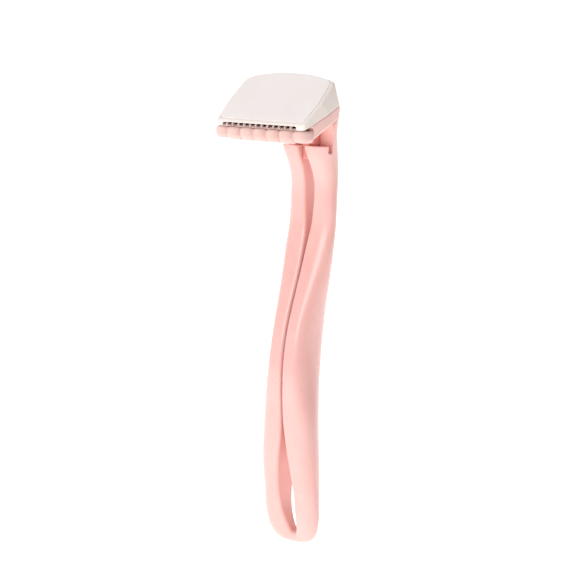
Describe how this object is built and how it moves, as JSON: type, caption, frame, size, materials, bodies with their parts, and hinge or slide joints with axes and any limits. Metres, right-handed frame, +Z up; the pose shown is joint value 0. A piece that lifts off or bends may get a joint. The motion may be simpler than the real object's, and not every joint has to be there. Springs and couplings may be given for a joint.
{
  "type": "cartridge razor",
  "caption": "Cartridge razor with a slim loop handle and a sprung pivoting head: white wedge cap, lobed guard and finned twin blades, pushed off by a thumb button.",
  "frame": {"origin": "lowest point of the handle loop, at the mount loop_end", "axes": "+Z up the handle towards the head, the longest extent; +X across the head, the symmetry axis; -Y the blade side"},
  "size_m": [0.0428, 0.03, 0.1508],
  "materials": {
    "handle_pink": "glossy moulded styrene copolymer, pale pink, slightly translucent",
    "inner_pink": "moulded pink plastic",
    "tray_pink": "moulded pale pink plastic",
    "guard_pink": "soft overmoulded pink elastomer",
    "cap_white": "satin moulded white plastic",
    "panel_white": "smooth white glide strip",
    "fin_pale": "moulded pale plastic",
    "acetal_white": "natural acetal",
    "blade_steel": "coated ground blade steel",
    "pin_steel": "drawn stainless wire",
    "spring_steel": "spring wire"
  },
  "bodies": {
    "handle": {"handle_loop": "handle_pink", "neck_block": "inner_pink", "pivot_pin": "pin_steel", "plunger_spring": "spring_steel"},
    "plunger": {"plunger": "acetal_white"},
    "rocker": {"head_carrier": "inner_pink", "button_spring": "spring_steel"},
    "button": {"eject_button": "acetal_white"},
    "cartridge": {"cartridge_tray": "tray_pink", "guard_bar": "guard_pink", "blade_seat": "tray_pink", "lower_blade": "blade_steel", "blade_spacer": "blade_steel", "upper_blade": "blade_steel", "fin_comb": "fin_pale", "cap_cover": "cap_white", "glide_panel": "panel_white", "stake_pins": "acetal_white"}
  },
  "joints": [
    {"name": "head_tilt", "type": "hinge", "parent": "handle", "child": "rocker", "pos_m": [0, 0.0071, 0.1386], "axis": [1, 0, 0], "range_deg": [0, 25], "stiffness_Nm_per_rad": 0.02, "springref_deg": -14.32},
    {"name": "plunger_travel", "type": "slide", "parent": "handle", "child": "plunger", "axis": [0, 0, -1], "range_m": [0, 0.0022], "deforming": ["plunger_spring"]},
    {"name": "button_press", "type": "slide", "parent": "rocker", "child": "button", "axis": [0, -0.8526, -0.5225], "range_m": [0, 0.0035], "stiffness_N_per_m": 60, "springref_m": -0.004, "deforming": ["button_spring"]},
    {"name": "eject_travel", "type": "slide", "parent": "rocker", "child": "cartridge", "axis": [0, -0.8526, -0.5225], "range_m": [0, 0.0035]}
  ],
  "couplings": [
    {"joint": "plunger_travel", "follows": "head_tilt", "m_per_rad": 0.0045},
    {"joint": "eject_travel", "follows": "button_press", "ratio": 1}
  ]
}
